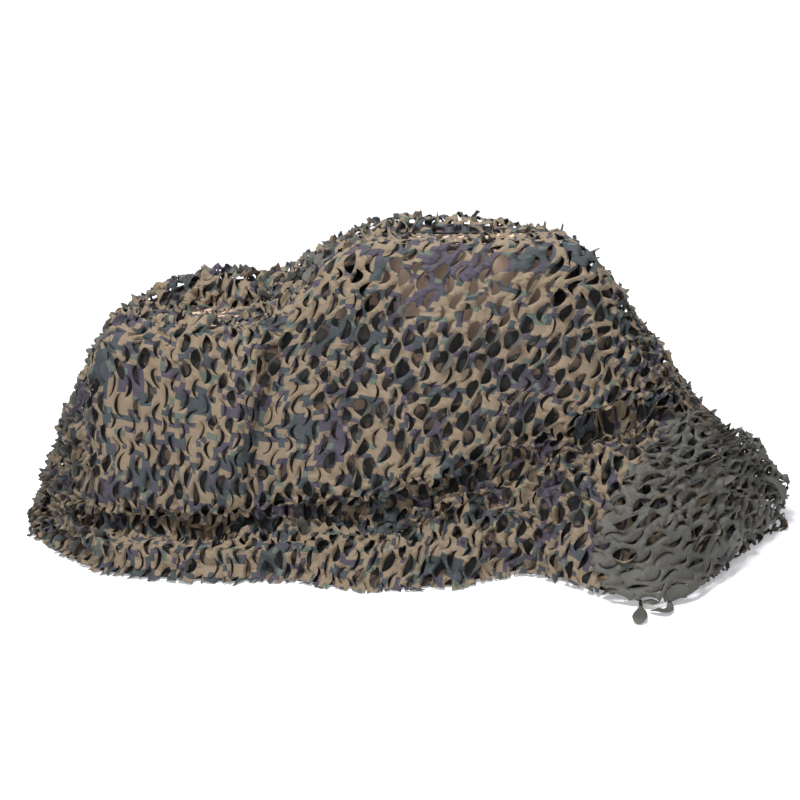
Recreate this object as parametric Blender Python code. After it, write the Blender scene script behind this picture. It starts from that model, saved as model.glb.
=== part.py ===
"""Camouflage net thrown over two cartons, its right-hand end turned over to show the plain reverse.

The net is one piece of cloth, lofted from cross sections at stations along X. A point of the cloth has
two coordinates: its station x, and t, which counts the section's corners from the back hem (0) over the
back edge (1), the front edge (2), the foot (3) and the crest (4) to the front hem (5) and the floor (6).
"""
import bpy
import numpy as np

# ---- driving dimensions, in metres ------------------------------------------------------------------
CLOTH = 0.0025          # thickness of the net with its print
LEVEL = 0.00145         # mid-plane of cloth that lies on the floor
SEAT_GAP = 0.0003       # between the cloth and the carton tops that carry it
SEAT_EDGE = 0.100       # the cloth leaves a carton's top this far inside its edges
FLOOR_RUN = 0.30        # floor in front of the hem, for the corner that is turned over

# Cross sections, left to right: y of the back hem, y and z of each corner, y of the front hem.
SECTIONS = (
    # name             x      back   back edge      front edge      foot            crest           hem
    ("left tip",     -0.990, 0.080, 0.065, 0.012,  0.045, 0.016,  0.030, 0.012,  0.018, 0.008,  0.005),
    ("left toe",     -0.950, 0.180, 0.120, 0.095,  0.040, 0.130,  0.000, 0.070, -0.030, 0.040, -0.055),
    ("left slope",   -0.890, 0.300, 0.190, 0.250, -0.010, 0.285, -0.070, 0.100, -0.110, 0.060, -0.140),
    ("left edge",    -0.820, 0.380, 0.220, 0.385, -0.110, 0.430, -0.170, 0.110, -0.190, 0.070, -0.215),
    ("left corner",  -0.760, 0.425, 0.245, 0.520, -0.160, 0.545, -0.210, 0.105, -0.235, 0.075, -0.265),
    ("left box",     -0.630, 0.455, 0.270, 0.640, -0.175, 0.590, -0.235, 0.090, -0.285, 0.085, -0.335),
    ("left face",    -0.450, 0.460, 0.275, 0.665, -0.180, 0.600, -0.245, 0.095, -0.300, 0.088, -0.342),
    ("gap",          -0.300, 0.460, 0.285, 0.665, -0.135, 0.625, -0.225, 0.110, -0.300, 0.085, -0.352),
    ("right corner", -0.200, 0.470, 0.290, 0.735, -0.135, 0.735, -0.235, 0.120, -0.315, 0.080, -0.372),
    ("right box",    -0.050, 0.480, 0.295, 0.790, -0.130, 0.785, -0.250, 0.145, -0.335, 0.078, -0.405),
    ("right face",    0.100, 0.480, 0.295, 0.792, -0.130, 0.792, -0.240, 0.195, -0.315, 0.095, -0.385),
    ("rise",          0.270, 0.470, 0.290, 0.785, -0.130, 0.788, -0.215, 0.265, -0.255, 0.120, -0.305),
    ("right edge",    0.440, 0.440, 0.255, 0.715, -0.125, 0.768, -0.190, 0.345, -0.320, 0.170, -0.420),
    ("ridge",         0.580, 0.410, 0.200, 0.530, -0.070, 0.600, -0.165, 0.385, -0.340, 0.210, -0.455),
    ("shoulder",      0.730, 0.380, 0.190, 0.320, -0.010, 0.375, -0.135, 0.330, -0.260, 0.150, -0.350),
    ("right slope",   0.830, 0.360, 0.210, 0.220,  0.010, 0.265, -0.060, 0.220, -0.120, 0.100, -0.170),
    ("right toe",     0.920, 0.350, 0.240, 0.120,  0.070, 0.165,  0.020, 0.130, -0.015, 0.065, -0.045),
    ("right tip",     1.000, 0.300, 0.240, 0.035,  0.160, 0.050,  0.120, 0.040,  0.080, 0.020,  0.050),
)
ROUNDING = (0.01, 0.16, 0.14, 0.35, 0.45, 0.30, 0.01)   # of the corners, as shares of the sides they join
ZONES = (0.66, 0.43, 0.50, 0.10, 0.10, 0.30)            # usual lengths of the sides, back hem to floor
ROWS_BY_ZONE = (4, 6, 11, 8, 7, 8)                      # grid rows that each side takes

# Folds: from (x, t) to (x, t), how far the middle bows in t, half width, and height or, below 0, depth.
FOLDS = (
    # name                 x0     t0     x1     t1    bow   width   height
    ("foot crease left",  -0.80,  3.00, -0.25,  3.00,  0.00, 0.024, -0.026),
    ("foot crease right", -0.30,  3.02,  0.72,  2.95,  0.00, 0.028, -0.030),
    ("hem roll left",     -0.78,  4.05, -0.20,  4.00,  0.10, 0.040,  0.020),
    ("hem roll right",    -0.25,  3.80,  0.36,  4.40,  0.10, 0.034,  0.022),
    ("sweep high",        -0.05,  3.30,  0.62,  2.75,  0.05, 0.026,  0.020),
    ("sweep low",         -0.10,  4.10,  0.50,  3.40,  0.06, 0.028,  0.020),
    ("sweep trough",      -0.02,  3.70,  0.52,  3.10,  0.05, 0.022, -0.012),
    ("gap crease",        -0.31,  2.10, -0.27,  3.10,  0.00, 0.032, -0.030),
    ("gap lip",           -0.38,  2.15, -0.36,  2.95,  0.00, 0.030,  0.014),
    ("plateau near",      -0.72,  1.75, -0.34,  1.65,  0.05, 0.030,  0.014),
    ("plateau far",       -0.68,  1.25, -0.30,  1.20,  0.04, 0.034,  0.018),
    ("left corner fold",  -0.84,  2.30, -0.76,  3.40,  0.00, 0.030,  0.018),
    ("left hem fold",     -0.93,  3.10, -0.70,  4.40,  0.00, 0.028,  0.018),
    ("shoulder fold",      0.46,  2.60,  0.90,  2.40,  0.06, 0.030,  0.018),
    ("knee fold",          0.40,  3.60,  0.62,  4.60,  0.00, 0.036,  0.020),
    ("right hem fold",     0.66,  3.30,  0.86,  4.30,  0.00, 0.032,  0.016),
    ("back fold left",    -0.55,  0.10, -0.45,  0.90,  0.00, 0.060,  0.030),
    ("back fold middle",  -0.10,  0.10, -0.02,  0.85,  0.00, 0.060,  0.030),
    ("back fold right",    0.40,  0.10,  0.32,  0.85,  0.00, 0.060,  0.030),
)
# Unevenness between the folds: wave lengths along x and down the section, height, and phase in turns.
WAVES = (
    ("broad",   0.47, 0.61, 0.0050, 0.10),
    ("slanted", 0.23, 0.34, 0.0035, 0.45),
    ("short",   0.13, 0.26, 0.0022, 0.80),
)
HEM_WAVES = (("long", 0.31, 0.010, 0.20), ("short", 0.11, 0.006, 0.65))   # wave length, reach, phase

# The turned-over end, which lies on the net with its reverse up.
CREASE_X = 0.985        # where the net turns back over itself
TURN = 0.011            # radius of the turn, so the layers lie two of these apart beside it
FLAP_LIFT = 0.014       # and this much further apart inside the flap
FLAP_TOP = 2.05         # t of its upper edge, which climbs from the back hem beside the turn
FLAP_TOP_RUN = 0.45     # over this share of the width of the flap
FLAP_EDGE = (           # its left edge: t, x
    ("top",      2.05, 0.740),
    ("shoulder", 2.50, 0.710),
    ("slope",    3.20, 0.590),
    ("knee",     4.20, 0.440),
    ("hem",      5.00, 0.420),
    ("tip",      5.60, 0.500),
)
FLAP_HEM = (            # its lower edge, past the hem and on the floor: x, t
    ("tip",      0.480, 5.42),
    ("front",    0.620, 5.34),
    ("side",     0.740, 5.16),
    ("crease",   0.985, 5.00),
)

COLUMNS = 57            # grid columns across the net
TURN_COLUMNS = 3        # around the turn
FLAP_COLUMNS = 16       # across the flap

# Cartons: x and y of the middle, length, width, height.
CARTONS = (
    ("carton_low", -0.520, 0.045, 0.360, 0.330, 0.560),
    ("carton_tall", 0.135, 0.065, 0.450, 0.270, 0.760),
)
BOARD_EDGE = 0.003      # radius of a carton's edges

CAMOUFLAGE = (0.27, 0.24, 0.18, 1.0)
KRAFT = (0.50, 0.36, 0.26, 1.0)


def smooth_step(value):
    value = np.clip(value, 0.0, 1.0)
    return value * value * (3.0 - 2.0 * value)


def read_table(rows, key, column, place):
    """A smooth curve through one column of a table, read where its key column equals place."""
    keys = np.array([row[key] for row in rows])
    values = np.array([row[column] for row in rows])
    slopes = np.gradient(values, keys)
    i = np.clip(np.searchsorted(keys, place) - 1, 0, len(keys) - 2)
    step = keys[i + 1] - keys[i]
    s = np.clip((place - keys[i]) / step, 0.0, 1.0)
    ends = values[i] * (1 + 2 * s) * (1 - s) ** 2 + values[i + 1] * s * s * (3 - 2 * s)
    return ends + step * (slopes[i] * s * (1 - s) ** 2 + slopes[i + 1] * s * s * (s - 1))


def section_corners(x):
    """y and z of each corner of the section at station x."""
    back, back_y, back_z, front_y, front_z, foot_y, foot_z, crest_y, crest_z, hem = (
        read_table(SECTIONS, 1, column, x) for column in range(2, 12)
    )
    for name, length, reach, phase in HEM_WAVES:
        hem = hem + reach * np.sin(2 * np.pi * (x / length + phase))
    floor = np.full_like(x, LEVEL)
    ys = np.array([back, back_y, front_y, foot_y, crest_y, hem, hem - FLOOR_RUN])
    zs = np.array([floor, back_z, front_z, foot_z, crest_z, floor, floor])
    return ys, zs


def corner_value(values, index):
    return np.take_along_axis(values, np.clip(index, 0, len(values) - 1)[None], 0)[0]


def lie(x, t):
    """Where the cloth lies at (x, t) before its folds: the section's sides, with rounded corners."""
    side = np.clip(np.floor(t).astype(int), 0, len(ZONES) - 1)
    near = np.clip(np.rint(t).astype(int), 0, len(ZONES))
    off = t - near
    radius = np.array(ROUNDING)[near]
    place = [x]
    for values in section_corners(x):
        start, end = corner_value(values, side), corner_value(values, side + 1)
        corner = corner_value(values, near)
        before = corner - corner_value(values, near - 1)
        after = corner_value(values, near + 1) - corner
        rounded = corner + (after - before) * (off + radius) ** 2 / (4 * radius) + before * off
        place.append(np.where(np.abs(off) < radius, rounded, start + (end - start) * (t - side)))
    return np.stack(place, axis=-1)


def down(t):
    """Usual length of cloth between the back hem and t."""
    return np.interp(t, range(len(ZONES) + 1), np.concatenate([[0], np.cumsum(ZONES)]))


def fold_height(x, t):
    """How far the folds and the unevenness lift the cloth off its lie."""
    height = np.zeros_like(x)
    for name, x0, t0, x1, t1, bow, width, rise in FOLDS:
        along_x, along_t = x1 - x0, down(t1) - down(t0)
        length = along_x ** 2 + along_t ** 2
        share = ((x - x0) * along_x + (down(t) - down(t0)) * along_t) / length
        inside = np.clip(share, 0.0, 1.0)
        middle_t = t0 + (t1 - t0) * inside + bow * 4 * inside * (1 - inside)
        aside = np.hypot(x - (x0 + along_x * inside), down(t) - down(middle_t))
        fade = 0.25 + 0.75 * np.sin(np.pi * inside)
        height += rise * fade * np.exp(-((aside / width) ** 2))
    for name, length_x, length_t, rise, phase in WAVES:
        height += rise * np.sin(2 * np.pi * (x / length_x + phase)) * np.sin(2 * np.pi * down(t) / length_t)
    return height * smooth_step((5.0 - t) / 0.5 + 0.1) * smooth_step(t / 0.3 + 0.1)


def outward(x, t):
    """Unit vectors off the lie and along x at (x, t)."""
    small = 1e-3
    along = lie(x + small, t) - lie(x - small, t)
    across = lie(x, t + small) - lie(x, t - small)
    normal = np.cross(across, along)
    return (v / np.linalg.norm(v, axis=-1, keepdims=True) for v in (normal, along))


def seat(points):
    """Press the cloth onto the middle of each carton's top, and keep it clear of the rest."""
    for name, x, y, length, width, height in CARTONS:
        inside_x = (length / 2 - np.abs(points[..., 0] - x)) / SEAT_EDGE
        inside_y = (width / 2 - np.abs(points[..., 1] - y)) / SEAT_EDGE
        share = smooth_step(np.minimum(inside_x, inside_y))
        top = height + SEAT_GAP + CLOTH / 2
        pressed = np.maximum(points[..., 2], top) * (1 - share) + top * share
        points[..., 2] = np.where(share > 0, pressed, points[..., 2])
    return points


def cloth(x, t, lift=0.0, turn_out=0.0):
    """Mid-surface of the net at (x, t), lifted off its place and pushed out along x beside the turn."""
    normal, along = outward(x, t)
    raised = normal + np.array([0.0, 0.0, 1.0])
    raised /= np.linalg.norm(raised, axis=-1, keepdims=True)
    points = lie(x, t) + normal * fold_height(x, t)[..., None]
    points += raised * (lift * np.ones_like(x))[..., None] + along * turn_out
    points = seat(points)
    points[..., 2] = np.maximum(points[..., 2], LEVEL)
    return points


def column_stations():
    """Stations of the grid columns, closer together where the net falls steeply at its ends."""
    fine = np.linspace(SECTIONS[0][1], CREASE_X, 800)
    top = read_table(SECTIONS, 1, 6, fine)
    run = np.concatenate([[0], np.cumsum(np.hypot(np.diff(fine), 0.5 * np.diff(top)))])
    return np.interp(np.linspace(0, run[-1], COLUMNS), run, fine)


def rows_between(start, end):
    """The t of each grid row, from start to end, crowded as ROWS_BY_ZONE says."""
    count = np.concatenate([[0], np.cumsum(ROWS_BY_ZONE)])
    zones = range(len(ROWS_BY_ZONE) + 1)
    first, last = np.interp(start, zones, count), np.interp(end, zones, count)
    share = np.linspace(0, 1, sum(ROWS_BY_ZONE[:5]) + 1)
    return np.interp(first + (last - first) * share, count, zones)


def net_grid():
    """Points of the net's mid-surface, by column and row: the net, its turn, and the flap over it."""
    columns = []
    for x in column_stations():
        t = rows_between(0.0, 5.0)
        columns.append(cloth(np.full_like(t, x), t))
    t = rows_between(0.0, 5.0)
    for angle in np.linspace(0, np.pi, TURN_COLUMNS + 2)[1:-1]:
        lift, out = TURN * (1 - np.cos(angle)), TURN * np.sin(angle)
        columns.append(cloth(np.full_like(t, CREASE_X), t, lift, out))
    for share in np.linspace(0, 1, FLAP_COLUMNS):
        columns.append(flap_column(share))
    return np.array(columns)


def flap_column(share):
    """A column of the flap, from the turn (0) to the flap's left edge (1)."""
    start = FLAP_TOP * smooth_step(share / FLAP_TOP_RUN)
    t = rows_between(start, 5.0)
    for _ in range(4):
        x = CREASE_X - (CREASE_X - read_table(FLAP_EDGE, 1, 2, t)) * share
        end = read_table(FLAP_HEM, 1, 2, x[-1])
        t = rows_between(start, end)
    x = CREASE_X - (CREASE_X - read_table(FLAP_EDGE, 1, 2, t)) * share
    inner = np.sin(np.pi * share) ** 0.5
    lift = (2 * TURN + FLAP_LIFT * inner) * smooth_step((5.30 - t) / 0.25)
    return cloth(x, t, lift)


def material(name, colour, roughness):
    made = bpy.data.materials.new(name)
    made.use_nodes = True
    principled = made.node_tree.nodes["Principled BSDF"]
    principled.inputs["Base Color"].default_value = colour
    principled.inputs["Roughness"].default_value = roughness
    principled.inputs["Metallic"].default_value = 0.0
    return made


def add_object(name, points, faces, surface):
    mesh = bpy.data.meshes.new(name)
    mesh.from_pydata(points, [], faces)
    mesh.materials.append(surface)
    made = bpy.data.objects.new(name, mesh)
    bpy.context.scene.collection.objects.link(made)
    return made


def footprint_middle(grid):
    """The point of the floor under the middle of the net, which becomes the part's origin."""
    middle = (grid.min(axis=(0, 1)) + grid.max(axis=(0, 1))) / 2
    return np.array([middle[0], middle[1], 0.0])


def make_net(grid):
    columns, rows = grid.shape[:2]
    faces = [
        (i * rows + j, i * rows + j + 1, (i + 1) * rows + j + 1, (i + 1) * rows + j)
        for i in range(columns - 1)
        for j in range(rows - 1)
    ]
    net = add_object("net", grid.reshape(-1, 3).tolist(), faces, material("camouflage", CAMOUFLAGE, 0.8))
    net.data.shade_smooth()
    thick = net.modifiers.new("Thickness", "SOLIDIFY")
    thick.thickness = CLOTH
    thick.offset = 0.0
    return net


def make_carton(name, middle, length, width, height, surface):
    corners = [
        (middle[0] + sx * length / 2, middle[1] + sy * width / 2, z)
        for z in (0.0, height)
        for sx, sy in ((-1, -1), (1, -1), (1, 1), (-1, 1))
    ]
    faces = [(3, 2, 1, 0), (4, 5, 6, 7), (0, 1, 5, 4), (1, 2, 6, 5), (2, 3, 7, 6), (3, 0, 4, 7)]
    carton = add_object(name, corners, faces, surface)
    edges = carton.modifiers.new("Board edges", "BEVEL")
    edges.width = BOARD_EDGE
    edges.segments = 2
    return carton


def main():
    for old in list(bpy.data.objects):
        bpy.data.objects.remove(old, do_unlink=True)
    grid = net_grid()
    origin = footprint_middle(grid)
    make_net(grid - origin)
    kraft = material("kraft_board", KRAFT, 0.85)
    for name, x, y, length, width, height in CARTONS:
        make_carton(name, (x - origin[0], y - origin[1]), length, width, height, kraft)


main()
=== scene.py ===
import math

import bpy
import numpy as np
from mathutils import Euler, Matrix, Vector
from mathutils.geometry import delaunay_2d_cdt


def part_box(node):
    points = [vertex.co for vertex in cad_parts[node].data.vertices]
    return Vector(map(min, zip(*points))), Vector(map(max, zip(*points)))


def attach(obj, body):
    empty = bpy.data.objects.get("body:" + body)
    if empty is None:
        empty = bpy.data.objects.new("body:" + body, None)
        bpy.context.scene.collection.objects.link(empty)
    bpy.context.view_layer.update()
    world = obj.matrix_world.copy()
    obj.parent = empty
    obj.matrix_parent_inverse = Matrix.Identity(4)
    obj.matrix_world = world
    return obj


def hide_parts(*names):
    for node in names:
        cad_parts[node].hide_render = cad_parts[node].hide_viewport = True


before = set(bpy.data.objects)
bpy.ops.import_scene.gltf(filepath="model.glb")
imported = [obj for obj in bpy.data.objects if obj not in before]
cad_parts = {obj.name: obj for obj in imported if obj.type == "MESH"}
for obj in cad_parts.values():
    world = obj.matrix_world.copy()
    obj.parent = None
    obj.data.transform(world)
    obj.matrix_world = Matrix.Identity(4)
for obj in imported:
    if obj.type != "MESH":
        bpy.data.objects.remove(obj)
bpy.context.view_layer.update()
scene = bpy.context.scene

# ======================================
# Studio. A plain white paper floor that curves up behind the net, a large soft light overhead and
# two weaker ones, and the camera a little above the net, straight in front of it.
# ======================================
CAMERA_PLACE = (-0.0251, -4.3507, 1.62)
CAMERA_DOWN = 16.0  # degrees that it looks down
LAMPS = (  # place, where it points, size, power
    ("light_top", (-0.55, -1.1, 4.0), (0.0, 0.1, 0.3), 1.5, 205.0),
    ("light_front", (-1.1, -4.3, 2.3), (-0.2, 0.0, 0.3), 1.4, 40.0),
    ("light_back", (0.2, 3.2, 3.4), (0.0, 0.0, 0.4), 2.6, 14.0),
)
PAPER_SIDE, PAPER_BACK = 14.0, 3.0  # half its width, and where it starts to curve up
PAPER_BEND, PAPER_TOP = 2.2, 9.0  # radius of that curve, and height of its upper edge

scene.view_settings.view_transform = "Standard"
scene.view_settings.look = "None"

lens = bpy.data.cameras.new("camera")
lens.sensor_width = 36.0
lens.lens = 81.0
camera = bpy.data.objects.new("camera", lens)
camera.location = CAMERA_PLACE
camera.rotation_euler = Euler((math.radians(90.0 - CAMERA_DOWN), 0.0, 0.0))
scene.collection.objects.link(camera)
scene.camera = camera

world = bpy.data.worlds.new("studio_air")
world.use_nodes = True
air = world.node_tree.nodes["Background"].inputs
air["Color"].default_value, air["Strength"].default_value = (0.96, 0.98, 1.0, 1.0), 0.27
scene.world = world

for name, place, aim, size, power in LAMPS:
    lamp = bpy.data.lights.new(name, "AREA")
    lamp.shape = "SQUARE"
    lamp.size = size
    lamp.energy = power
    holder = bpy.data.objects.new(name, lamp)
    holder.location = place
    holder.rotation_euler = (Vector(aim) - Vector(place)).to_track_quat("-Z", "Y").to_euler()
    scene.collection.objects.link(holder)

paper_rows = [(-PAPER_SIDE, 0.0), (PAPER_BACK, 0.0)]
for angle in np.linspace(0, math.pi / 2, 18)[1:]:
    paper_rows.append((PAPER_BACK + PAPER_BEND * math.sin(angle), PAPER_BEND - PAPER_BEND * math.cos(angle)))
paper_rows.append((PAPER_BACK + PAPER_BEND, PAPER_TOP))
paper_points = [(x, y, z) for y, z in paper_rows for x in (-PAPER_SIDE, PAPER_SIDE)]
paper_faces = [(2 * i, 2 * i + 1, 2 * i + 3, 2 * i + 2) for i in range(len(paper_rows) - 1)]
paper_mesh = bpy.data.meshes.new("paper_floor")
paper_mesh.from_pydata(paper_points, [], paper_faces)
paper_mesh.shade_smooth()
paper = bpy.data.objects.new("paper_floor", paper_mesh)
scene.collection.objects.link(paper)
paper_finish = bpy.data.materials.new("white_paper")
paper_finish.use_nodes = True
for name, value in (
    ("Base Color", (0.93, 0.93, 0.95, 1.0)), ("Roughness", 0.9),
    ("Emission Color", (0.96, 0.96, 1.0, 1.0)), ("Emission Strength", 0.30),
):
    paper_finish.node_tree.nodes["Principled BSDF"].inputs[name].default_value = value
paper_mesh.materials.append(paper_finish)

# ======================================
# Cartons. Two plain single-wall boxes of brown kraft board stand under the net and carry it. Each is
# folded from one die-cut sheet, its flaps meeting in the middle of the top under paper tape.
# ======================================
BOARD_PALE = (0.66, 0.48, 0.37, 1.0)
BOARD_DARK = (0.54, 0.38, 0.28, 1.0)
TAPE_BROWN = (0.40, 0.265, 0.16, 1.0)
SEAM_BROWN = (0.10, 0.065, 0.04, 1.0)
FLUTE = 0.0065  # from one flute of the board to the next
TAPE_WIDTH, TAPE_LAP = 0.050, 0.04  # and how far it laps down the sides
SEAM_HALF = 0.0012


class Wire:
    """An output of a node. Sums and comparisons with it add Math nodes to its tree."""

    def __init__(self, tree, socket):
        self.tree, self.socket = tree, socket

    def work(self, operation, *others):
        return self.tree.maths(operation, self, *others)

    def __add__(self, other):
        return self.work("ADD", other)

    def __sub__(self, other):
        return self.work("SUBTRACT", other)

    def __rsub__(self, other):
        return self.tree.maths("SUBTRACT", other, self)

    def __mul__(self, other):
        return self.work("MULTIPLY", other)

    def __truediv__(self, other):
        return self.work("DIVIDE", other)

    def __rtruediv__(self, other):
        return self.tree.maths("DIVIDE", other, self)

    def __lt__(self, other):
        return self.work("LESS_THAN", other)

    def __gt__(self, other):
        return self.work("GREATER_THAN", other)

    __radd__, __rmul__ = __add__, __mul__


class Tree:
    """A node tree, with one method that adds a node: its type, its settings, then its sockets."""

    def __init__(self, tree):
        self.tree = tree

    def node(self, kind, settings=None, values=None, output=0):
        made = self.tree.nodes.new(kind)
        for name, setting in (settings or {}).items():
            setattr(made, name, setting)
        for key, value in (values or {}).items():
            live = [s for s in made.inputs if s.enabled]
            socket = live[key] if isinstance(key, int) else next(s for s in live if s.name == key)
            if isinstance(value, Wire):
                self.tree.links.new(value.socket, socket)
            else:
                socket.default_value = value
        live = [s for s in made.outputs if s.enabled]
        return Wire(self, live[output] if isinstance(output, int) else made.outputs[output])

    def maths(self, operation, *values):
        return self.node("ShaderNodeMath", {"operation": operation}, dict(enumerate(values)))

    def vector(self, operation, *values):
        return self.node("ShaderNodeVectorMath", {"operation": operation}, dict(enumerate(values)))

    def parts(self, vector):
        return [self.node("ShaderNodeSeparateXYZ", {}, {"Vector": vector}, i) for i in range(3)]

    def join(self, x=0.0, y=0.0, z=0.0):
        return self.node("ShaderNodeCombineXYZ", {}, {"X": x, "Y": y, "Z": z})

    def noise(self, where, scale, detail, output=0, **more):
        values = {"Vector": where, "Scale": scale, "Detail": detail, **more}
        return self.node("ShaderNodeTexNoise", {}, values, output)

    def blend(self, share, a, b):
        return self.node("ShaderNodeMix", {"data_type": "RGBA"}, {"Factor": share, "A": a, "B": b})


def new_finish(name):
    """A material whose one shader is a Principled BSDF, with its tree and that shader's node."""
    made = bpy.data.materials.new(name)
    made.use_nodes = True
    return made, Tree(made.node_tree), made.node_tree.nodes["Principled BSDF"]


def finish_with(tree, shader, colour, roughness, relief, strength, distance):
    """Leads a colour, a roughness and the relief that a bump shows to a material's shader."""
    bump = tree.node("ShaderNodeBump", {}, {"Strength": strength, "Distance": distance, "Height": relief})
    for name, wire in (("Base Color", colour), ("Roughness", roughness), ("Normal", bump)):
        tree.tree.links.new(wire.socket, shader.inputs[name])


for carton_name in ("carton_low", "carton_tall"):
    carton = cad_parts[carton_name]
    lowest, highest = (np.array(corner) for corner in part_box(carton_name))
    board, tree, shader = new_finish("kraft_board_" + carton_name)
    place = tree.node("ShaderNodeTexCoord", {}, {}, "Object")
    x, y, z = tree.parts(place)
    fibres = tree.noise(tree.vector("MULTIPLY", place, (260.0, 260.0, 60.0)), 1.0, 4.0)
    clouds = tree.noise(place, 7.0, 3.0)
    flutes = ((x + y) * (2 * math.pi / FLUTE)).work("SINE")
    off_seam = (y - float((lowest[1] + highest[1]) / 2)).work("ABSOLUTE")
    on_top = z > float(highest[2] - TAPE_LAP)
    tape = (off_seam < TAPE_WIDTH / 2) * on_top
    seam = (off_seam < SEAM_HALF) * on_top
    colour = tree.blend(clouds * 0.6 + fibres * 0.4, BOARD_DARK, BOARD_PALE)
    colour = tree.blend(flutes * 0.04 + 0.04, colour, BOARD_DARK)
    colour = tree.blend(tape * 0.85, colour, TAPE_BROWN)
    colour = tree.blend(seam * 0.7, colour, SEAM_BROWN)
    relief = fibres * 0.3 + flutes * 0.5 * (1 - tape) + tape * 1.5 - seam * 2.0
    finish_with(tree, shader, colour, 0.86 - tape * 0.35 + fibres * 0.08, relief, 0.25, 0.0006)
    shader.inputs["Specular IOR Level"].default_value = 0.3
    carton.data.materials.clear()
    carton.data.materials.append(board)

# ======================================
# The lie of the net. One cloth hangs over both cartons, spreads on the floor in rolls and gathers, and
# its right-hand end is turned over. A point of it is a station x and a t, which counts the corners of a
# section from the back hem (0) over the top edges (1, 2), the foot (3) and the crest (4) to the front hem (5).
# ======================================
CLOTH = 0.0025  # thickness that the solid cloth has
LEVEL = 0.00145  # height of its middle where it lies on the floor
LOWEST = 0.0012  # and of the lowest point of the cut cloth
SEAT_GAP, SEAT_EDGE = 0.0003, 0.100  # over a carton's top, and how far in from its edge this holds
FLOOR_RUN = 0.30  # of the cloth's line past the front hem, which rounds the hem off
SECTIONS = (  # x, y of the back hem, y and z of four corners, y of the front hem
    (-0.990, 0.080, 0.065, 0.012, 0.045, 0.016, 0.030, 0.012, 0.018, 0.008, 0.005),
    (-0.950, 0.180, 0.120, 0.095, 0.040, 0.130, 0.000, 0.070, -0.030, 0.040, -0.055),
    (-0.890, 0.300, 0.190, 0.250, -0.010, 0.285, -0.070, 0.100, -0.110, 0.060, -0.140),
    (-0.820, 0.380, 0.220, 0.385, -0.110, 0.430, -0.170, 0.110, -0.190, 0.070, -0.215),
    (-0.760, 0.425, 0.245, 0.520, -0.160, 0.545, -0.210, 0.105, -0.235, 0.075, -0.265),
    (-0.630, 0.455, 0.270, 0.640, -0.175, 0.590, -0.235, 0.090, -0.285, 0.085, -0.335),
    (-0.450, 0.460, 0.275, 0.665, -0.180, 0.600, -0.245, 0.095, -0.300, 0.088, -0.342),
    (-0.300, 0.460, 0.285, 0.665, -0.135, 0.625, -0.225, 0.110, -0.300, 0.085, -0.352),
    (-0.200, 0.470, 0.290, 0.735, -0.135, 0.735, -0.235, 0.120, -0.315, 0.080, -0.372),
    (-0.050, 0.480, 0.295, 0.790, -0.130, 0.785, -0.250, 0.145, -0.335, 0.078, -0.405),
    (0.100, 0.480, 0.295, 0.792, -0.130, 0.792, -0.240, 0.195, -0.315, 0.095, -0.385),
    (0.270, 0.470, 0.290, 0.785, -0.130, 0.788, -0.215, 0.265, -0.255, 0.120, -0.305),
    (0.440, 0.440, 0.255, 0.715, -0.125, 0.768, -0.190, 0.345, -0.320, 0.170, -0.420),
    (0.580, 0.410, 0.200, 0.530, -0.070, 0.600, -0.165, 0.385, -0.340, 0.210, -0.455),
    (0.730, 0.380, 0.190, 0.320, -0.010, 0.375, -0.135, 0.330, -0.260, 0.150, -0.350),
    (0.830, 0.360, 0.210, 0.220, 0.010, 0.265, -0.060, 0.220, -0.120, 0.100, -0.170),
    (0.920, 0.350, 0.240, 0.120, 0.070, 0.165, 0.020, 0.130, -0.015, 0.065, -0.045),
    (1.000, 0.300, 0.240, 0.035, 0.160, 0.050, 0.120, 0.040, 0.080, 0.020, 0.050),
)
ROUNDING = (0.01, 0.16, 0.14, 0.16, 0.45, 0.30, 0.01)  # of each corner, in t
ZONES = (0.66, 0.43, 0.50, 0.10, 0.10, 0.30)  # usual length of each side of a section
ROWS_BY_ZONE = (4, 6, 11, 8, 7, 8)  # share of the rows of points on each side
FOLDS = (  # from x, t to x, t, bow of the middle in t, half width, height
    (-0.82, 3.16, -0.60, 3.00, 0.00, 0.020, -0.018),
    (-0.64, 3.02, -0.42, 3.14, 0.04, 0.022, -0.020),
    (-0.46, 3.12, -0.24, 2.98, -0.04, 0.020, -0.018),
    (-0.30, 3.06, 0.72, 2.98, 0.00, 0.022, -0.042),
    (-0.78, 4.05, -0.20, 4.00, 0.10, 0.040, 0.020),
    (-0.25, 3.80, 0.36, 4.40, 0.10, 0.034, 0.022),
    (-0.05, 3.30, 0.62, 2.75, 0.05, 0.026, 0.020),
    (-0.10, 4.10, 0.50, 3.40, 0.06, 0.028, 0.020),
    (-0.02, 3.70, 0.52, 3.10, 0.05, 0.022, -0.012),
    (-0.33, 2.10, -0.40, 3.08, 0.00, 0.018, -0.066),
    (-0.39, 2.15, -0.455, 2.98, 0.00, 0.034, 0.026),
    (-0.72, 1.75, -0.34, 1.65, 0.05, 0.030, 0.014),
    (-0.68, 1.25, -0.30, 1.20, 0.04, 0.034, 0.018),
    (-0.84, 2.30, -0.76, 3.40, 0.00, 0.030, 0.018),
    (-0.93, 3.10, -0.70, 4.40, 0.00, 0.028, 0.018),
    (0.46, 2.60, 0.90, 2.40, 0.06, 0.030, 0.018),
    (0.40, 3.60, 0.62, 4.60, 0.00, 0.036, 0.020),
    (0.66, 3.30, 0.86, 4.30, 0.00, 0.032, 0.016),
    (-0.55, 0.10, -0.45, 0.90, 0.00, 0.060, 0.030),
    (-0.10, 0.10, -0.02, 0.85, 0.00, 0.060, 0.030),
    (0.40, 0.10, 0.32, 0.85, 0.00, 0.060, 0.030),
)
WAVES = (  # unevenness: length in x and along t, height, phase
    (0.47, 0.61, 0.0050, 0.10), (0.23, 0.34, 0.0035, 0.45), (0.13, 0.26, 0.0022, 0.80),
)
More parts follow.
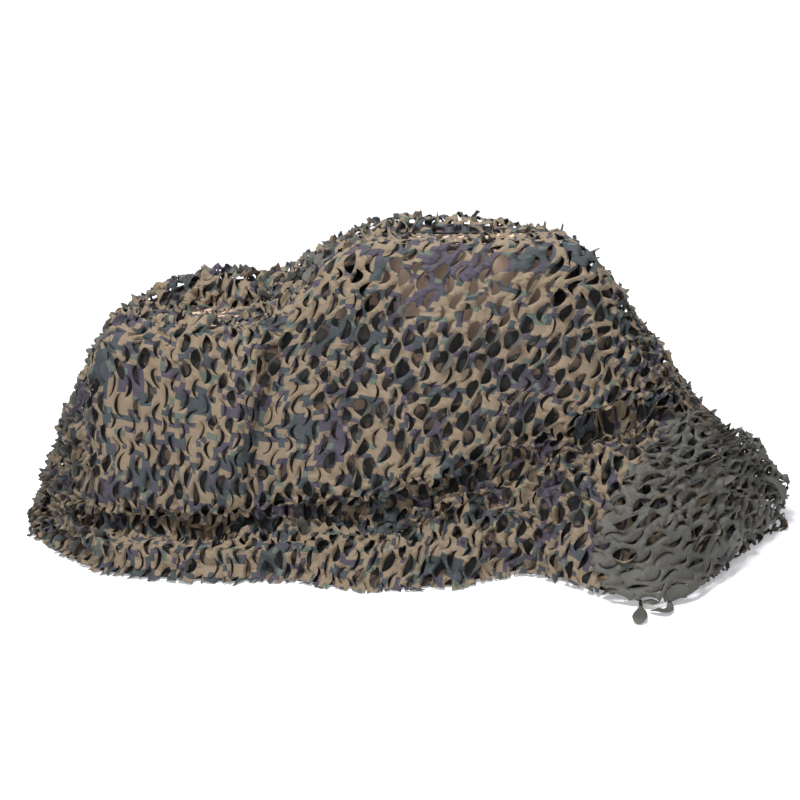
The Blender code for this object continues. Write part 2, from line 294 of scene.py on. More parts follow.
HEM_WAVES = ((0.31, 0.010, 0.20), (0.11, 0.006, 0.65))  # of the front hem: length, reach, phase
CREASE_X, TURN = 0.985, 0.011  # where the cloth turns over, and the radius it turns round
FLAP_LIFT = 0.014  # of the turned-over end's middle over the net
FLAP_TOP, FLAP_TOP_RUN = 2.85, 0.75  # t of its upper edge, reached at this share of its width
FLAP_EDGE = (  # t, and the x that the turned-over end reaches there
    (2.85, 0.690), (3.05, 0.650), (3.40, 0.580), (4.20, 0.455), (5.00, 0.450), (5.60, 0.560),
)
FLAP_HEM = ((0.450, 5.10), (0.560, 5.20), (0.640, 5.22), (0.740, 5.06), (0.985, 5.00))  # x, t
CARTONS = (  # middle in x and y, length, width and height
    (-0.520, 0.045, 0.360, 0.330, 0.560), (0.135, 0.065, 0.450, 0.270, 0.760),
)
COLUMNS, ROWS = 236, 216  # of the fine drape
TURN_COLUMNS, FLAP_COLUMNS = 7, 66  # of its turn and of its turned-over end
NET_COLUMNS = COLUMNS + TURN_COLUMNS // 2  # as far as the middle of the turn
FLAT_SPAN = 4.0  # flat coordinates are metres over this, to lie within 0 and 1
FLAT_MARGIN = 0.3  # metres left free beside the flat cloth
SPARE_CLOTH = 0.22  # more cloth than its place has room for, where it is slack
SLACK_ROWS = (  # t, and how slack the net lies there
    (0.0, 0.5), (0.5, 0.4), (1.0, 0.7), (1.5, 0.7), (2.0, 0.4), (2.2, 0.1), (2.85, 0.15), (3.02, 1.5),
    (3.4, 1.6), (3.7, 0.8), (4.1, 0.6), (5.0, 0.5),
)
FLAP_SLACK_ROWS = ((3.0, 0.95), (4.2, 0.85), (4.7, 0.3), (5.2, 0.15))
OPEN_ROWS = (  # t, and how far the net's tongues stand open there
    (1.05, 0.9), (1.6, 0.9), (2.0, 0.7), (2.6, 0.0), (2.9, 0.7), (3.5, 0.8), (4.0, 0.5),
)
FLAP_OPEN_ROWS = ((2.0, 0.9), (4.2, 0.8), (4.7, 0.1), (6.0, 0.1))
UNDER_DEPTH = (0.013, 0.020)  # of the under ply below the net: where taut, and added where slack
UNDER_CLEAR = 0.0035  # of the under ply above the cartons and the floor
UNDER_THIN = 0.0015  # left between the two plies


def smooth_step(value):
    value = np.clip(value, 0.0, 1.0)
    return value * value * (3.0 - 2.0 * value)


def read_table(rows, column, place):
    """A smooth curve through one column of a table, read where its first column equals place."""
    keys = np.array([row[0] for row in rows])
    values = np.array([row[column] for row in rows])
    slopes = np.gradient(values, keys)
    i = np.clip(np.searchsorted(keys, place) - 1, 0, len(keys) - 2)
    step = keys[i + 1] - keys[i]
    s = np.clip((place - keys[i]) / step, 0.0, 1.0)
    ends = values[i] * (1 + 2 * s) * (1 - s) ** 2 + values[i + 1] * s * s * (3 - 2 * s)
    return ends + step * (slopes[i] * s * (1 - s) ** 2 + slopes[i + 1] * s * s * (s - 1))


def lie(x, t):
    """Where the cloth lies at (x, t) before its folds: the section's sides, with rounded corners."""
    back, back_y, back_z, front_y, front_z, foot_y, foot_z, crest_y, crest_z, hem = (
        read_table(SECTIONS, column, x) for column in range(1, 11)
    )
    for length, reach, phase in HEM_WAVES:
        hem = hem + reach * np.sin(2 * np.pi * (x / length + phase))
    floor = np.full_like(x, LEVEL)
    side = np.clip(np.floor(t).astype(int), 0, len(ZONES) - 1)
    near = np.clip(np.rint(t).astype(int), 0, len(ZONES))
    off = t - near
    radius = np.array(ROUNDING)[near]
    place = [x]
    for values in (
        np.array([back, back_y, front_y, foot_y, crest_y, hem, hem - FLOOR_RUN]),
        np.array([floor, back_z, front_z, foot_z, crest_z, floor, floor]),
    ):
        def at(index):
            return np.take_along_axis(values, np.clip(index, 0, len(ZONES))[None], 0)[0]

        before, after = at(near) - at(near - 1), at(near + 1) - at(near)
        rounded = at(near) + (after - before) * (off + radius) ** 2 / (4 * radius) + before * off
        straight = at(side) + (at(side + 1) - at(side)) * (t - side)
        place.append(np.where(np.abs(off) < radius, rounded, straight))
    return np.stack(place, axis=-1)


def down(t):
    """Usual length of cloth between the back hem and t."""
    return np.interp(t, range(len(ZONES) + 1), np.concatenate([[0], np.cumsum(ZONES)]))


def fold_height(x, t):
    """How far the folds and the unevenness lift the cloth off its lie."""
    height = np.zeros_like(x)
    for x0, t0, x1, t1, bow, width, rise in FOLDS:
        along_x, along_t = x1 - x0, down(t1) - down(t0)
        share = ((x - x0) * along_x + (down(t) - down(t0)) * along_t) / (along_x ** 2 + along_t ** 2)
        inside = np.clip(share, 0.0, 1.0)
        middle_t = t0 + (t1 - t0) * inside + bow * 4 * inside * (1 - inside)
        aside = np.hypot(x - (x0 + along_x * inside), down(t) - down(middle_t))
        height += rise * (0.25 + 0.75 * np.sin(np.pi * inside)) * np.exp(-((aside / width) ** 2))
    for length_x, length_t, rise, phase in WAVES:
        height += rise * np.sin(2 * np.pi * (x / length_x + phase)) * np.sin(2 * np.pi * down(t) / length_t)
    return height * smooth_step((5.0 - t) / 0.5 + 0.1) * smooth_step(t / 0.3 + 0.1)


def drape(x, t, lift=0.0, turn_out=0.0):
    """Middle of the cloth at (x, t), lifted off its place and pushed out along x beside the turn."""
    small = 1e-3
    along = lie(x + small, t) - lie(x - small, t)
    normal = np.cross(lie(x, t + small) - lie(x, t - small), along)
    along /= np.linalg.norm(along, axis=-1, keepdims=True)
    normal /= np.linalg.norm(normal, axis=-1, keepdims=True)
    raised = normal + np.array([0.0, 0.0, 1.0])
    raised /= np.linalg.norm(raised, axis=-1, keepdims=True)
    points = lie(x, t) + normal * fold_height(x, t)[..., None]
    points += raised * (lift * np.ones_like(x))[..., None] + along * turn_out
    for box_x, box_y, length, width, height in CARTONS:
        inside_x = (length / 2 - np.abs(points[..., 0] - box_x)) / SEAT_EDGE
        inside_y = (width / 2 - np.abs(points[..., 1] - box_y)) / SEAT_EDGE
        share = smooth_step(np.minimum(inside_x, inside_y))
        top = height + SEAT_GAP + CLOTH / 2
        pressed = np.maximum(points[..., 2], top) * (1 - share) + top * share
        points[..., 2] = np.where(share > 0, pressed, points[..., 2])
    points[..., 2] = np.maximum(points[..., 2], LEVEL)
    return points


def rows_between(start, end, rows=ROWS):
    """The t of each row of points, from start to end, crowded as ROWS_BY_ZONE says."""
    count = np.concatenate([[0], np.cumsum(ROWS_BY_ZONE)])
    zones = range(len(ROWS_BY_ZONE) + 1)
    first, last = np.interp(start, zones, count), np.interp(end, zones, count)
    return np.interp(first + (last - first) * np.linspace(0, 1, rows), count, zones)


def by_row(table, t):
    return np.interp(t, *zip(*table))


def gather(x, t, flap):
    """How slack the cloth lies, 0 to 1: taut on the faces of the cartons, loose on the floor."""
    plateau = smooth_step((t - 0.9) / 0.2) * smooth_step((2.15 - t) / 0.2) * smooth_step((-0.24 - x) / 0.08)
    ends = smooth_step((x - 0.42) / 0.16) + smooth_step((-0.74 - x) / 0.08)
    slack = np.maximum(np.maximum(by_row(SLACK_ROWS, t), 1.1 * plateau), 0.95 * ends)
    return slack * (1 - flap) + flap * by_row(FLAP_SLACK_ROWS, t)


def opening(x, t, flap):
    """How far the die-cut tongues stand open, 0 to 1, with less along the front edges of the tops."""
    face = 0.28 + 0.50 * smooth_step((x + 0.30) / 0.12) * smooth_step((3.0 - t + 0.8 * (x + 0.1)) / 0.6)
    ends = smooth_step((x - 0.42) / 0.16) + smooth_step((-0.70 - x) / 0.10)
    front = np.maximum(np.maximum(face, by_row(OPEN_ROWS, t)), ends) * smooth_step((t - 0.85) / 0.2)
    front = front * (1 - 0.8 * np.exp(-(((t - 1.97) / np.where(x < -0.28, 0.16, 0.09)) ** 2)))
    return np.maximum(front, 0.12) * (1 - flap) + by_row(FLAP_OPEN_ROWS, t) * flap


fine = np.linspace(SECTIONS[0][0], CREASE_X, 1600)
run = np.concatenate([[0], np.cumsum(np.hypot(np.diff(fine), 0.5 * np.diff(read_table(SECTIONS, 5, fine))))])
stations = np.interp(np.linspace(0, run[-1], COLUMNS), run, fine)
net_rows = rows_between(0.0, 5.0)
columns, column_x, column_t = [], [], []
for x in stations:
    column_x.append(np.full(ROWS, x))
    column_t.append(net_rows)
    columns.append(drape(column_x[-1], net_rows))
for angle in np.linspace(0, np.pi, TURN_COLUMNS + 2)[1:-1]:
    column_x.append(np.full(ROWS, CREASE_X))
    column_t.append(net_rows)
    columns.append(drape(column_x[-1], net_rows, TURN * (1 - np.cos(angle)), TURN * np.sin(angle)))
for share in np.linspace(0, 1, FLAP_COLUMNS):
    start = FLAP_TOP * smooth_step(share / FLAP_TOP_RUN)
    t = rows_between(start, 5.0)
    for _ in range(4):
        x = CREASE_X - (CREASE_X - read_table(FLAP_EDGE, 1, t)) * share
        t = rows_between(start, read_table(FLAP_HEM, 1, x[-1]))
    x = CREASE_X - (CREASE_X - read_table(FLAP_EDGE, 1, t)) * share
    swell = np.sin(np.pi * share) ** 0.5
    swell *= 1 + 0.9 * np.sin(11.0 * x + 2.6 * t) * np.sin(23.0 * x - 5.0 * t + 0.6)
    column_x.append(x)
    column_t.append(t)
    columns.append(drape(x, t, (2 * TURN + FLAP_LIFT * swell) * smooth_step((5.30 - t) / 0.25)))
points, column_x, column_t = np.array(columns), np.array(column_x), np.array(column_t)
in_flap = np.zeros(points.shape[:2])
in_flap[NET_COLUMNS:] = 1.0

# The part's origin is on the floor under the middle of the net, and the sections count from elsewhere.
tall_low, tall_high = (np.array(corner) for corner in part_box("carton_tall"))
points[..., :2] += (tall_low + tall_high)[:2] / 2 - np.array(CARTONS[1][:2])

# How far a point may sink before it meets a carton, the floor or the net below the turned-over end.
room = points[..., 2] - 0.0015
for carton_name in ("carton_low", "carton_tall"):
    lowest, highest = (np.array(corner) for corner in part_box(carton_name))
    beyond = np.maximum(np.maximum(lowest - points, points - highest), 0.0)
    room = np.minimum(room, np.linalg.norm(beyond, axis=-1) - 0.0012)
room = np.clip(room, 0.0, 0.08)
room[in_flap > 0.5] = np.minimum(room, 0.013)[in_flap > 0.5]

# How slack and how open the cloth is, and how deep the under ply hangs below it. There is none under the
# turned-over end, at the hems, and in a ragged patch of the tall carton's front, where board shows.
slack = gather(column_x, column_t, in_flap)
open_share = opening(column_x, column_t, in_flap)
depth = np.minimum(UNDER_DEPTH[0] + UNDER_DEPTH[1] * np.minimum(slack, 1.0), room - UNDER_CLEAR)
depth[(in_flap > 0.5) | (column_t < 0.1) | (column_t > 4.9) | (column_x > 0.95)] = 0.0
bare = 0.75 - np.hypot((column_x - 0.16) / 0.36, (column_t - 2.12) / 0.30)
ragged = np.sin(column_x * 61.0 + 2.0 * np.sin(column_t * 27.0))
ragged *= np.sin(column_t * 47.0 + 1.3 * np.sin(column_x * 39.0))
depth[bare + 0.6 * ragged > 0.30] = 0.0
room = np.where(depth > 3 * UNDER_THIN, np.minimum(room, depth - UNDER_THIN), room)
covered = smooth_step((column_x - read_table(FLAP_EDGE, 1, column_t) + 0.05) / 0.05)
covered *= smooth_step((column_t - 1.7) / 0.3) * (1 - in_flap)
slack = slack * (1 - 0.65 * covered)


def flatten(shape, spare, width, height, middle, rounds=1500):
    """Flat coordinates of a grid of points of cloth, relaxed until its meshes keep their lengths."""
    whole, first, last = slice(None), slice(None, -1), slice(1, None)
    links = [((first, whole), (last, whole)), ((whole, first), (whole, last))]
    links += [((first, first), (last, last)), ((last, first), (first, last))]
    lengths = [
        np.linalg.norm(shape[a] - shape[b], axis=-1) * (1 + SPARE_CLOTH * (spare[a] + spare[b]) / 2)
        for a, b in links
    ]
    lengths[0] = lengths[0] * (width[1:] + width[:-1]) / 2
    lengths[1] = lengths[1] * (height[:, 1:] + height[:, :-1]) / 2
    u = np.concatenate([[0], np.cumsum(lengths[0].mean(axis=1) * 1.2)])
    v = np.concatenate([np.zeros((len(shape), 1)), -np.cumsum(lengths[1], axis=1)], axis=1)
    v -= v[np.arange(len(shape)), middle][:, None]
    flat = np.stack([np.broadcast_to(u[:, None], v.shape), v], axis=-1)
    before = flat
    for _ in range(rounds):
        push, even = np.zeros_like(flat), np.zeros_like(flat)
        for (a, b), length in zip(links, lengths):
            gap = flat[b] - flat[a]
            now = np.maximum(np.linalg.norm(gap, axis=-1), 1e-9)
            fix = gap * ((now - length) / now)[..., None]
            push[a] += fix
            push[b] -= fix
        even[1:-1] += (flat[:-2] + flat[2:]) / 2 - flat[1:-1]
        even[:, 1:-1] += (flat[:, :-2] + flat[:, 2:]) / 2 - flat[:, 1:-1]
        # A share of what the links lack, a little evening out, and most of the last round's swing.
        flat, before = flat + 0.05 * push + 0.02 * even + 0.9 * (flat - before), flat
    return flat


def grid_faces(wide, tall):
    """The quads between points that stand in so many columns of so many rows."""
    index = np.arange(wide * tall).reshape(wide, tall)
    corners = (index[:-1, :-1], index[:-1, 1:], index[1:, 1:], index[1:, :-1])
    return np.stack(corners, axis=-1).reshape(-1, 4)


def new_cloth(name, shape, faces, flat):
    """A smooth piece of cloth whose UV map, flat, is where each point lies on the flat cloth."""
    mesh = bpy.data.meshes.new(name)
    mesh.from_pydata(shape, [], faces)
    mesh.shade_smooth()
    corner_vertex = np.zeros(len(mesh.loops), dtype=np.int32)
    mesh.loops.foreach_get("vertex_index", corner_vertex)
    mesh.uv_layers.new(name="flat").data.foreach_set("uv", flat[corner_vertex].ravel())
    made = bpy.data.objects.new(name, mesh)
    scene.collection.objects.link(made)
    return made


def make_lie(name, chosen, level_at, middle_t, scale):
    """A mesh of part of the lie, with flat coordinates that run level at one of its points."""
    shape, spare = points[chosen], slack[chosen]
    wide, tall = shape.shape[:2]
    few = [np.unique(np.append(np.arange(0, count, 4), count - 1)) for count in (wide, tall)]
    x, t = column_x[chosen][np.ix_(*few)], column_t[chosen][np.ix_(*few)]
    middle = np.argmin(np.abs(t - middle_t), axis=1)
    face = smooth_step((t - 1.9) / 0.2) * smooth_step((3.1 - t) / 0.2)
    pulled = smooth_step((x + 0.34) / 0.1) * smooth_step((0.5 - x) / 0.1) * face
    rough = flatten(shape[np.ix_(*few)], spare[np.ix_(*few)], 1 - 0.32 * pulled, 1 + 0.22 * face, middle)
    flat = np.zeros((wide, tall, 2))
    for k in (0, 1):
        columns = np.array([np.interp(np.arange(wide), few[0], row) for row in rough[:, :, k].T]).T
        flat[..., k] = [np.interp(np.arange(tall), few[1], column) for column in columns]
    i, j = level_at
    ahead = flat[i + 6, j] - flat[i - 6, j]
    turn = -math.atan2(ahead[1], ahead[0])
    flat = flat @ np.array([[math.cos(turn), math.sin(turn)], [-math.sin(turn), math.cos(turn)]]) * scale
    flat += FLAT_MARGIN - flat.min(axis=(0, 1))
    faces = grid_faces(wide, tall).tolist()
    made = new_cloth(name, shape.reshape(-1, 3), faces, flat.reshape(-1, 2) / FLAT_SPAN)
    for kind, values in (("slack", slack), ("open", open_share), ("room", room), ("up", 1 - 2 * in_flap)):
        made.data.attributes.new(kind, "FLOAT", "POINT").data.foreach_set("value", values[chosen].ravel())
    return made, flat


left_face = (int(np.argmin(np.abs(stations + 0.5))), int(np.argmin(np.abs(net_rows - 2.5))))
net_lie, net_flat = make_lie(
    "lie_of_the_net", slice(0, NET_COLUMNS + 2), level_at=left_face, middle_t=1.5, scale=0.88
)
corner_lie, _ = make_lie(
    "lie_of_the_corner", slice(NET_COLUMNS, None), level_at=(30, 150), middle_t=3.0, scale=0.80
)

# ======================================
# The cut. The net is a woven synthetic sheet, printed on one side, and passed under a rotary die that
# cuts two facing crescents a cell and removes nothing: each leaves a tongue, hinged along its chord.
# ======================================
COLUMN_PITCH, ROW_PITCH = 0.0440, 0.0700
CUT_RADIUS = 0.0247
CUT_HALF_ANGLE = math.radians(75.0)
CUTS = ((0.0, 0.0, -1.0), (0.0080, -0.0313, 1.0))  # middle of the chord, and the side it bulges to
CUT_STEPS, HINGE_STEPS = 14, 6  # edges along a crescent, and along its chord
TONGUE_ROWS = ((0.0062, 5), (0.0125, 4))  # from the hinge, and points in the row
PULLED_BEHIND = 0.016  # how far behind its chord an open tongue draws the strand along
CUT_CLEAR = 0.0045  # least way from a crescent to a point of the sheet
HINGE_CLEAR = 0.0062  # and from its chord
SHEET_GRID = (4, 6)  # points of the sheet in a cell, before those are left out
CELLS_AROUND = [(across, up) for across in (-1, 0, 1) for up in (-1, 0, 1)]
chord = CUT_RADIUS * math.sin(CUT_HALF_ANGLE)  # half of it
hinge_off = CUT_RADIUS * math.cos(CUT_HALF_ANGLE)


def cuts_near(x, y):
    """Each cut of a cell and its neighbours, and how far (x, y) is past its chord and along it."""
    for across, up in CELLS_AROUND:
        for number, (cut_x, cut_y, side) in enumerate(CUTS):
            past = (x - cut_x - across * COLUMN_PITCH) * side
            yield (across, up, number), past, y - cut_y - up * ROW_PITCH


rng = np.random.default_rng(11)
sheet_points = []
for i in range(SHEET_GRID[0]):
    for j in range(SHEET_GRID[1]):
        x = (i + 0.5 + 0.25 * rng.uniform(-1, 1)) * COLUMN_PITCH / SHEET_GRID[0] - COLUMN_PITCH / 2
        y = (j + 0.5 + 0.25 * rng.uniform(-1, 1)) * ROW_PITCH / SHEET_GRID[1] - ROW_PITCH / 2
        clear, drawn_by = True, (-1, 0.0, 0.0)
        for (_, _, number), past, along in cuts_near(x, y):
            if past > -HINGE_CLEAR and math.hypot(past + hinge_off, along) < CUT_RADIUS + CUT_CLEAR:
                clear = False
            if -PULLED_BEHIND < past < 0 and abs(along) < chord and (drawn_by[0] < 0 or past > drawn_by[1]):
                drawn_by = (number, past, along)
        if clear:
            sheet_points.append((x, y, *drawn_by))

# Every point has a fact: its cell, its cut, what it is part of, and its way from the chord and along it.
cut_points, cut_facts, cut_edges = [], [], []
for across, up in CELLS_AROUND:
    for number, (cut_x, cut_y, side) in enumerate(CUTS):
        x0, y0 = cut_x + across * COLUMN_PITCH, cut_y + up * ROW_PITCH
        arc = []
        for k in range(CUT_STEPS + 1):
            angle = -CUT_HALF_ANGLE + 2 * CUT_HALF_ANGLE * k / CUT_STEPS
            away, along = CUT_RADIUS * math.cos(angle) - hinge_off, CUT_RADIUS * math.sin(angle)
            arc.append(len(cut_points))
            cut_points.append((x0 + side * away, y0 + along))
            cut_facts.append((across, up, number, "cut" if 0 < k < CUT_STEPS else "hinge", away, along))
        hinge = [arc[0]]
        for k in range(1, HINGE_STEPS):
            along = -chord + 2 * chord * k / HINGE_STEPS
            hinge.append(len(cut_points))
            cut_points.append((x0, y0 + along))
            cut_facts.append((across, up, number, "hinge", 0.0, along))
        hinge.append(arc[-1])
        cut_edges += list(zip(arc, arc[1:])) + list(zip(hinge, hinge[1:]))
        for away, count in TONGUE_ROWS:
            half = math.sqrt(CUT_RADIUS ** 2 - (away + hinge_off) ** 2) - CUT_CLEAR
            for k in range(count):
                along = -half + 2 * half * k / (count - 1)
                cut_points.append((x0 + side * away, y0 + along))
                cut_facts.append((across, up, number, "tongue", away, along))
    for x, y, number, away, along in sheet_points:
        cut_points.append((x + across * COLUMN_PITCH, y + up * ROW_PITCH))
        cut_facts.append((across, up, number, "sheet" if number < 0 else "behind", away, along))
made = delaunay_2d_cdt([Vector(p) for p in cut_points], cut_edges, [], 0, 1e-6)
flat_points = np.array([tuple(p) for p in made[0]])
origin_of = [group[0] for group in made[3]]

# A face is in the cell of its cut where it is part of a tongue, and else in the cell that it lies in.
cell_faces, cells_of_vertex = [], {}
for face in made[2]:
    x, y = flat_points[list(face)].mean(axis=0)
    cell, tongue = (math.floor(x / COLUMN_PITCH + 0.5), math.floor(y / ROW_PITCH + 0.5)), False
    for cut, past, along in cuts_near(x, y):
        if past > 0 and math.hypot(past + hinge_off, along) < CUT_RADIUS:
            cell, tongue = cut[:2], True
            break
    for vertex in face:
        cells_of_vertex.setdefault(vertex, set()).add(cell)
    if cell == (0, 0):
        cell_faces.append((face, tongue))

# The points along a crescent are doubled, for its tongue to part there from the sheet.
new_index, cell_points, cell_facts, faces = {}, [], [], []
for face, tongue in cell_faces:
    corners = []
    for vertex in face:
        _, _, number, part, away, along = cut_facts[origin_of[vertex]]
        own = tongue and part == "cut"
        if (vertex, own) not in new_index:
            new_index[vertex, own] = len(cell_points)
            moves = own or part in ("hinge", "tongue", "behind")
            rim = not own and len(cells_of_vertex[vertex]) > 1
            cell_points.append((*flat_points[vertex], 0.0))
            cell_facts.append((away * moves, along * moves, CUTS[number][2] * moves, float(rim)))
        corners.append(new_index[vertex, own])
    faces.append(corners)
cell_mesh = bpy.data.meshes.new("net_cell")
cell_mesh.from_pydata(cell_points, [], faces)
for column, name in enumerate(("away", "along", "side", "rim")):
    values = [facts[column] for facts in cell_facts]
    cell_mesh.attributes.new(name, "FLOAT", "POINT").data.foreach_set("value", values)
cell_object = bpy.data.objects.new("net_cell", cell_mesh)
scene.collection.objects.link(cell_object)

# ======================================
# The net. The cut sheet is laid out flat, cell beside cell, its tongues are curled out of it, and it
# is carried over to the lie with the crumples that slack cloth has. It is one net in the real thing,
# and five pieces here: four that join without a gap, each a run of columns of cells, and its corner.
# ======================================
NET_SHEET = 0.0006  # thickness of the cloth itself
WEAVE = 0.0011  # from one thread to the next
CELL_TURN = math.radians(-13.0)  # of the cut against the net's edge
CORNER_TURN = math.radians(75.0)  # and in the turned-over end
CREASE_ANGLE = math.radians(7.0)  # past which an edge between two faces shows
RIM_REACH = 0.0002  # between the rims of two cells that merge
SMALLEST_SCRAP = 60.0  # points, and smaller loose ones are left out
PRINT_TAN = (0.228, 0.174, 0.118, 1.0)
PRINT_TAN_DARK = (0.178, 0.134, 0.088, 1.0)
PRINT_TEAL = (0.043, 0.053, 0.057, 1.0)
PRINT_PLUM = (0.058, 0.050, 0.068, 1.0)
PRINT_MINT = (0.092, 0.114, 0.092, 1.0)
REVERSE_OLIVE = (0.092, 0.089, 0.076, 1.0)
REVERSE_DARK = (0.072, 0.070, 0.062, 1.0)
PRINT_SQUARE = 0.0130  # side of the squares that the print is made of
PLIES = (  # first column and columns, first row and rows, turn
    ("net_left", net_lie, -20, 36, -10, 90, CELL_TURN),
    ("net_middle", net_lie, 16, 14, -10, 90, CELL_TURN),
    ("net_right", net_lie, 30, 14, -10, 90, CELL_TURN),
    ("net_far_right", net_lie, 44, 40, -10, 90, CELL_TURN),
    ("net_corner", corner_lie, 0, 60, -52, 110, CORNER_TURN),
)


def new_cloth_finish(name):
    """A material on flat coordinates, with the relief of a fine plain weave and of slow creases."""
    made, tree, shader = new_finish(name)
    flat_place = tree.node("ShaderNodeUVMap", {"uv_map": "flat"})
    u, v, _ = tree.parts(flat_place)
    weave = (u * (2 * math.pi / WEAVE)).work("SINE") * (v * (2 * math.pi / WEAVE)).work("SINE")
    creases = tree.noise(flat_place, 60.0, 5.0, Roughness=0.6)
    return made, tree, shader, flat_place, weave, creases


def patch(tree, where, scale, offset, low, detail=0.0):
    """1 where a noise on the given squares of the print is above low."""
    return tree.noise(tree.vector("ADD", where, offset), scale, detail) > low


printed, tree, shader, flat_place, weave, creases = new_cloth_finish("camouflage_print")
snapped = tree.node(
    "ShaderNodeVectorRotate", {"rotation_type": "Z_AXIS"}, {"Vector": flat_place, "Angle": -CELL_TURN}
)
snapped = tree.vector("SNAP", snapped, (PRINT_SQUARE, PRINT_SQUARE, PRINT_SQUARE))
teal = patch(tree, snapped, 8.0, (3.1, 7.7, 0.0), 0.592, 3.0)
teal = teal.work("MAXIMUM", patch(tree, snapped, 33.0, (9.3, 1.2, 0.0), 0.62))
plum = patch(tree, snapped, 7.5, (13.7, 2.9, 0.0), 0.597, 3.0)
plum = plum.work("MAXIMUM", patch(tree, snapped, 36.0, (5.9, 11.2, 0.0), 0.64))
mint = patch(tree, snapped, 30.0, (1.7, 15.1, 0.0), 0.70)
colour = tree.blend(creases * 0.8, PRINT_TAN, PRINT_TAN_DARK)
for share, ink in ((teal, PRINT_TEAL), (plum, PRINT_PLUM), (mint, PRINT_MINT)):
    colour = tree.blend(share, colour, ink)
finish_with(tree, shader, colour, creases * 0.15 + 0.62, creases + weave * 0.15, 0.35, 0.0008)
shader.inputs["Specular IOR Level"].default_value = 0.35

plain, tree, shader, flat_place, weave, creases = new_cloth_finish("plain_reverse")
colour = tree.blend(creases, REVERSE_OLIVE, REVERSE_DARK)
finish_with(tree, shader, colour, creases * 0.12 + 0.52, creases + weave * 0.3, 0.35, 0.0008)
shader.inputs["Specular IOR Level"].default_value = 0.4

layout = bpy.data.node_groups.new("cut_net_over_a_lie", "GeometryNodeTree")
inputs = {}
for name, kind, default in (
    ("Columns", "NodeSocketInt", 10), ("Rows", "NodeSocketInt", 10),
    ("First column", "NodeSocketInt", 0), ("First row", "NodeSocketInt", 0),
    ("Column pitch", "NodeSocketFloat", COLUMN_PITCH), ("Row pitch", "NodeSocketFloat", ROW_PITCH),
    ("Turn", "NodeSocketFloat", CELL_TURN), ("Flat span", "NodeSocketFloat", FLAT_SPAN),
    ("Cell", "NodeSocketObject", None), ("Lie", "NodeSocketObject", None),
    ("Seed", "NodeSocketInt", 7), ("Crumple", "NodeSocketFloat", 0.034),
    ("Crumple length", "NodeSocketFloat", 0.105), ("Flutter", "NodeSocketFloat", 0.0045),
    ("Curl", "NodeSocketFloat", 1.0), ("Hinge bow", "NodeSocketFloat", 0.0085),
    ("Twist", "NodeSocketFloat", 0.0055), ("Front", "NodeSocketMaterial", None),
):
    made = layout.interface.new_socket(name=name, in_out="INPUT", socket_type=kind)
    inputs[name] = made.identifier
    if default is not None:
        made.default_value = default
layout.interface.new_socket(name="Net", in_out="OUTPUT", socket_type="NodeSocketGeometry")
net = Tree(layout)
given = layout.nodes.new("NodeGroupInput")
sizes = {name: Wire(net, given.outputs[name]) for name in inputs}


def named(name, kind="FLOAT"):
    return net.node("GeometryNodeInputNamedAttribute", {"data_type": kind}, {"Name": name})


def store(geometry, name, value, kind="FLOAT", domain="POINT"):
    return net.node(
        "GeometryNodeStoreNamedAttribute",
        {"data_type": kind, "domain": domain},
        {"Geometry": geometry, "Name": name, "Value": value},
    )


def delete(geometry, lost):
    values = {"Geometry": geometry, "Selection": lost}
    return net.node("GeometryNodeDeleteGeometry", {"domain": "POINT"}, values)


def chance(low, high, extra):
    """A random number for each tongue, always the same for the same tongue."""
    return net.node(
        "FunctionNodeRandomValue",
        {"data_type": "FLOAT"},
        {"Min": low, "Max": high, "ID": key, "Seed": sizes["Seed"] + extra},
    )


def on_lie(value, where, kind="FLOAT", output=0):
    """The lie's attribute at a flat place."""
    lie_mesh = net.node("GeometryNodeObjectInfo", {}, {"Object": sizes["Lie"]}, "Geometry")
    flat = named("flat", "FLOAT_VECTOR")
    return net.node(
        "GeometryNodeSampleUVSurface",
        {"data_type": kind},
        {"Mesh": lie_mesh, "Value": value, "UV Map": flat, "Sample UV": where},
        output,
    )


def laid(where):
    """The lie's flat coordinates of a place on the flat cut sheet."""
    spun = net.node(
        "ShaderNodeVectorRotate", {"rotation_type": "Z_AXIS"}, {"Vector": where, "Angle": sizes["Turn"]}
    )
    return net.vector("DIVIDE", spun, net.join(sizes["Flat span"], sizes["Flat span"], 1.0))


# The flat cut sheet: the cell on every point of a grid, merged along the rims.
place = net.node("GeometryNodeInputPosition")
grid = net.node("GeometryNodeMeshGrid", {}, {
    "Size X": (sizes["Columns"] - 1) * sizes["Column pitch"],
    "Size Y": (sizes["Rows"] - 1) * sizes["Row pitch"],
    "Vertices X": sizes["Columns"], "Vertices Y": sizes["Rows"],
})
middle = net.join(
    (sizes["First column"] + (sizes["Columns"] - 1) / 2) * sizes["Column pitch"],
    (sizes["First row"] + (sizes["Rows"] - 1) / 2) * sizes["Row pitch"],
)
grid = net.node("GeometryNodeSetPosition", {}, {"Geometry": grid, "Offset": middle})
cell = net.node("GeometryNodeObjectInfo", {}, {"Object": sizes["Cell"]}, "Geometry")
cells = net.node("GeometryNodeInstanceOnPoints", {}, {"Points": grid, "Instance": cell})
cloth = net.node("GeometryNodeRealizeInstances", {}, {"Geometry": cells})
rims = {"Geometry": cloth, "Selection": named("rim") > 0.5, "Distance": RIM_REACH}
cloth = net.node("GeometryNodeMergeByDistance", {}, rims)

